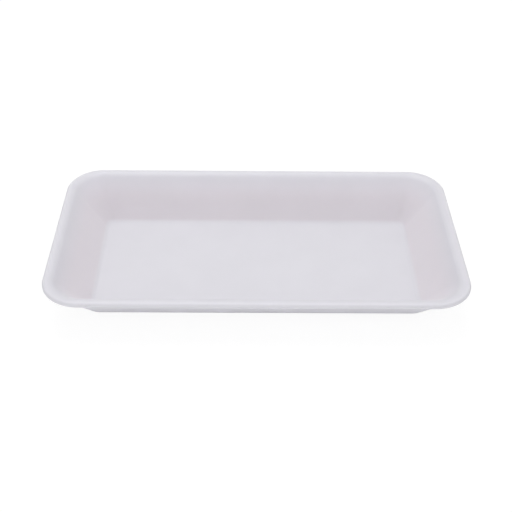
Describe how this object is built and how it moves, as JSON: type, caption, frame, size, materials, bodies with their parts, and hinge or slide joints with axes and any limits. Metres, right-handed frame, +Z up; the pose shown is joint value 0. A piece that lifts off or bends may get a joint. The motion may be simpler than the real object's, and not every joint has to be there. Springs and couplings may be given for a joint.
{
  "type": "foam meat tray",
  "caption": "Shallow oblong foam tray with a flat floor, sloping walls, round conical corners and a narrow rolled rim, for a portion of meat.",
  "frame": {"origin": "centre of the tray's footprint, on the flat underside that it stands on", "axes": "+X along the tray's long side, +Y across it towards the back, +Z up out of the tray's open mouth"},
  "size_m": [0.273, 0.146, 0.032],
  "materials": {
    "foam": "smooth, faintly satin skin of closed-cell foam, pale lavender white, with very fine cells"
  },
  "bodies": {
    "root": {"tray": "foam"}
  },
  "joints": []
}
